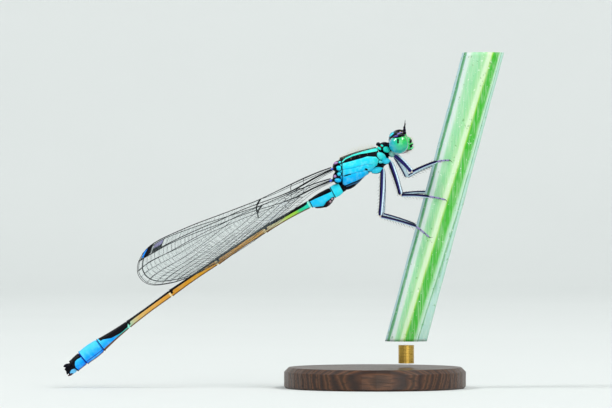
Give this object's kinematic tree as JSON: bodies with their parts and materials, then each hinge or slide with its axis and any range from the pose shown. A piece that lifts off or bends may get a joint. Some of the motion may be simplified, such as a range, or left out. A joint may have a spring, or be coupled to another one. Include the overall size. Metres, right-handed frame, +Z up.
{
  "type": "damselfly model on a stem",
  "caption": "Life-size still model of a blue and black damselfly gripping a cut plant stem, wings closed over its back, on a rod and round base.",
  "frame": {"origin": "centre of the underside of the round stand base", "axes": "+Z up; +X level, from the insect's tail towards its head; Y = 0 is the insect's plane of symmetry, and its left side is at +Y"},
  "size_m": [0.0339, 0.014, 0.0258],
  "materials": {
    "blue_shell": "smooth horny shell, sky blue marked with black",
    "pale_shell": "smooth horny shell, blue-green marked with black",
    "black_shell": "smooth black horny shell with blue-green patches",
    "amber_shell": "smooth amber shell, black above and at each joint",
    "eye": "glossy green and turquoise compound eye with a black cap",
    "leg_shell": "satin shell, dark outside and pale inside, bristled",
    "wing_membrane": "clear glossy membrane between dark grey veins",
    "stem_skin": "waxy green plant skin striped white and green along its length",
    "walnut": "satin dark walnut",
    "brass_rod": "brushed brass"
  },
  "bodies": {
    "root": {"head": "pale_shell", "eye_left": "eye", "eye_right": "eye", "antenna_left": "black_shell", "antenna_right": "black_shell", "prothorax": "black_shell", "synthorax": "blue_shell", "abdomen_s1": "blue_shell", "abdomen_s2": "blue_shell", "abdomen_s3": "amber_shell", "abdomen_s4": "amber_shell", "abdomen_s5": "amber_shell", "abdomen_s6": "amber_shell", "abdomen_s7": "blue_shell", "abdomen_s8": "blue_shell", "abdomen_s9": "blue_shell", "abdomen_s10": "blue_shell", "foreleg_left": "leg_shell", "foreleg_right": "leg_shell", "midleg_left": "leg_shell", "midleg_right": "leg_shell", "hindleg_left": "leg_shell", "hindleg_right": "leg_shell", "forewing_left": "wing_membrane", "forewing_right": "wing_membrane", "hindwing_left": "wing_membrane", "hindwing_right": "wing_membrane", "perch_stem": "stem_skin", "stand_base": "walnut", "stand_rod": "brass_rod"}
  },
  "joints": []
}
